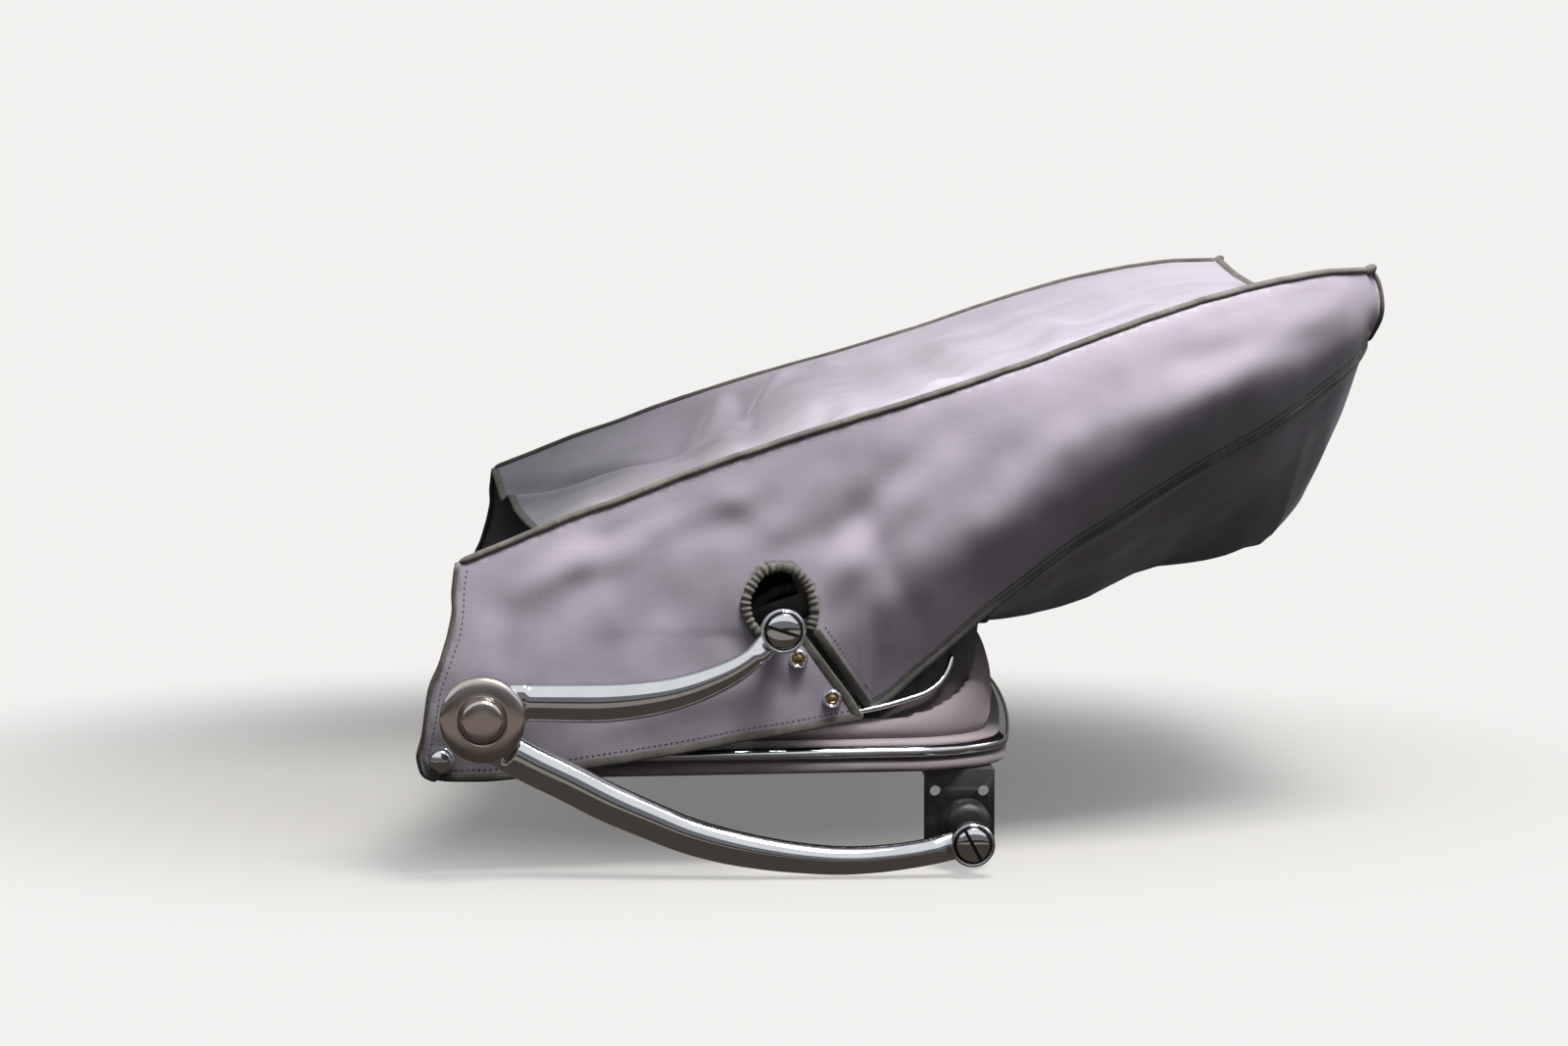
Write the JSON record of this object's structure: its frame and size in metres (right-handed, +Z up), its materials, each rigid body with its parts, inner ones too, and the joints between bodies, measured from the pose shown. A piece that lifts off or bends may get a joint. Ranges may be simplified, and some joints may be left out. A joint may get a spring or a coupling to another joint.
{
  "type": "folded convertible hood with pram irons",
  "caption": "Folded hood of an open four-seat car in its cloth cover, on its belt rail, with jointed pram irons; the stack lifts on its pivots and the irons follow.",
  "frame": {"origin": "centre of the four bolt holes of the wooden rail, on the rail's seat plane and the car's centre plane", "axes": "+X towards the car's tail, +Y towards the car's right-hand side, +Z up"},
  "size_m": [0.8099, 1.38, 0.479],
  "materials": {
    "cover_cloth": "weathered cotton duck, grey with a mauve cast",
    "hood_cloth": "dark grey hood cloth",
    "border_cloth": "grey cloth binding",
    "bright_plate": "polished chrome plate",
    "satin_plate": "satin chrome plate, lightly worn",
    "steel": "bright steel",
    "black_paint": "semi-gloss black enamel",
    "ash_wood": "varnished ash",
    "black_rubber": "matt black rubber"
  },
  "bodies": {
    "base": {"tack_rail": "ash_wood", "belt_moulding": "bright_plate", "border_welt": "border_cloth", "collar": "border_cloth", "curtain_roll": "hood_cloth", "pivot_bracket_left": "black_paint", "pivot_pin_left": "steel", "iron_bracket_left": "black_paint", "iron_pad_left": "black_rubber", "lower_screw_left": "bright_plate", "pivot_bracket_right": "black_paint", "pivot_pin_right": "steel", "iron_bracket_right": "black_paint", "iron_pad_right": "black_rubber", "lower_screw_right": "bright_plate"},
    "stack": {"cover_top": "cover_cloth", "cover_bottom": "cover_cloth", "cover_tail": "cover_cloth", "cover_side_left": "cover_cloth", "press_stud_1_left": "satin_plate", "press_stud_2_left": "satin_plate", "corner_fastener_left": "satin_plate", "main_lever_left": "black_paint", "side_rail_left": "black_paint", "eye_spacer_left": "steel", "upper_screw_left": "bright_plate", "cover_side_right": "cover_cloth", "press_stud_1_right": "satin_plate", "press_stud_2_right": "satin_plate", "corner_fastener_right": "satin_plate", "main_lever_right": "black_paint", "side_rail_right": "black_paint", "eye_spacer_right": "steel", "upper_screw_right": "bright_plate", "bow_1": "ash_wood", "bow_2": "ash_wood", "bow_3": "ash_wood", "folded_cloth_1": "hood_cloth", "folded_cloth_2": "hood_cloth", "folded_cloth_3": "hood_cloth", "header_rail": "ash_wood", "folded_curtain": "hood_cloth"},
    "lower_iron_left": {"lower_arm_left": "bright_plate", "knuckle_plate_left": "satin_plate", "knuckle_cap_left": "satin_plate"},
    "upper_iron_left": {"upper_arm_left": "bright_plate"},
    "lower_iron_right": {"lower_arm_right": "bright_plate", "knuckle_plate_right": "satin_plate", "knuckle_cap_right": "satin_plate"},
    "upper_iron_right": {"upper_arm_right": "bright_plate"}
  },
  "joints": [
    {"name": "hood_lift", "type": "hinge", "parent": "base", "child": "stack", "pos_m": [-0.165, 0, 0.06], "axis": [0, -1, 0], "range_deg": [0, 45]},
    {"name": "lower_pivot_left", "type": "hinge", "parent": "base", "child": "lower_iron_left", "pos_m": [0.185, -0.658, -0.045], "axis": [0, -1, 0], "range_deg": [0, 2.51]},
    {"name": "knuckle_pivot_left", "type": "hinge", "parent": "lower_iron_left", "child": "upper_iron_left", "pos_m": [-0.204, -0.658, 0.059], "axis": [0, -1, 0], "range_deg": [0, 38.29]},
    {"name": "lower_pivot_right", "type": "hinge", "parent": "base", "child": "lower_iron_right", "pos_m": [0.185, 0.658, -0.045], "axis": [0, -1, 0], "range_deg": [0, 2.51]},
    {"name": "knuckle_pivot_right", "type": "hinge", "parent": "lower_iron_right", "child": "upper_iron_right", "pos_m": [-0.204, 0.658, 0.059], "axis": [0, -1, 0], "range_deg": [0, 38.29]}
  ],
  "couplings": [
    {"joint": "lower_pivot_left", "follows": "hood_lift", "ratio": 0.0546},
    {"joint": "knuckle_pivot_left", "follows": "hood_lift", "ratio": 0.8497},
    {"joint": "lower_pivot_right", "follows": "hood_lift", "ratio": 0.0546},
    {"joint": "knuckle_pivot_right", "follows": "hood_lift", "ratio": 0.8497}
  ]
}
